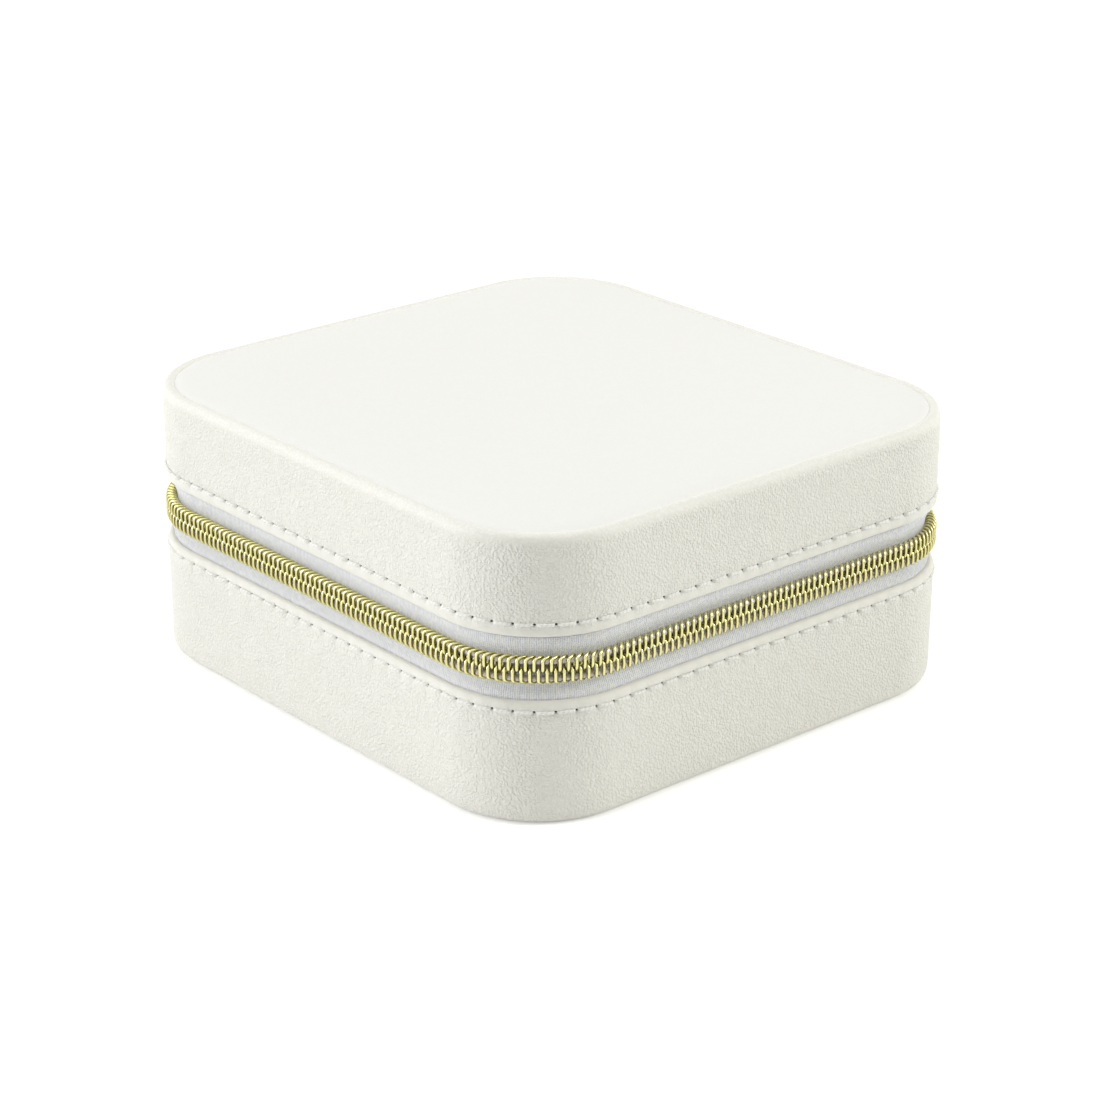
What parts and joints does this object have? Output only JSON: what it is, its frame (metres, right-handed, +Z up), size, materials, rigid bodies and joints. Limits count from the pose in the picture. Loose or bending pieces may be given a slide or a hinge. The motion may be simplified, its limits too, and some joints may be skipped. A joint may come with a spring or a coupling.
{
  "type": "jewelry box",
  "caption": "Rounded square travel jewelry case in pale pebbled leather with a gold zip round the middle, a padded hinged lid, and a velvet tray with ring rolls and compartments.",
  "frame": {"origin": "middle of the underside, on the table", "axes": "+Z up, -Y is the front, the hinge strip is at +Y, the closed slider is on the -X side"},
  "size_m": [0.1043, 0.0952, 0.0456],
  "materials": {
    "side_leather": "pebbled, satin",
    "top_leather": "fine grain, satin",
    "bottom_leather": "pebbled, satin",
    "card": "matt",
    "foam": "open-cell foam",
    "thread": "twisted thread",
    "velvet": "short pile",
    "zip_tape": "woven tape",
    "zip_gold": "metallised coil",
    "gold_metal": "polished",
    "mirror_glass": "silvered"
  },
  "bodies": {
    "base": {"base_leather_band": "side_leather", "base_bottom_panel": "bottom_leather", "base_wall_board": "card", "base_floor_board": "card", "base_stitching": "thread", "base_inner_wall": "velvet", "base_floor_velvet": "velvet", "divider_long": "velvet", "divider_short_left": "velvet", "divider_short_right": "velvet", "ring_rolls": "velvet", "hinge_strip": "side_leather", "hinge_strip_lining": "velvet", "zip_tape_lower": "zip_tape", "zip_coil_lower": "zip_gold", "zip_cord_lower": "thread", "zip_stop_lower": "gold_metal"},
    "lid": {"lid_leather_band": "side_leather", "lid_top_panel": "top_leather", "lid_foam_pad": "foam", "lid_top_board": "card", "lid_wall_board": "card", "lid_stitching": "thread", "lid_lining": "velvet", "lid_inner_panel": "velvet", "mirror": "mirror_glass", "mirror_frame": "gold_metal", "zip_tape_upper": "zip_tape", "zip_coil_upper": "zip_gold", "zip_cord_upper": "thread", "zip_stop_upper": "gold_metal"},
    "slider": {"slider_body": "gold_metal"},
    "pull": {"pull_tab": "gold_metal"}
  },
  "joints": [
    {"name": "lid_hinge", "type": "hinge", "parent": "base", "child": "lid", "pos_m": [0, 0.04527, 0.0248], "axis": [-1, 0, 0], "range_deg": [0, 100], "deforming": ["hinge_strip", "hinge_strip_lining"]},
    {"name": "zip_slide", "type": "slide", "parent": "base", "child": "slider", "axis": [0, -1, 0], "range_m": [0, 0.047], "deforming": ["zip_coil_lower", "zip_coil_upper", "zip_cord_lower", "zip_cord_upper"]},
    {"name": "pull_swing", "type": "hinge", "parent": "slider", "child": "pull", "pos_m": [-0.0519, 0.02275, 0.0248], "axis": [0, 0, -1], "range_deg": [0, 175]}
  ]
}
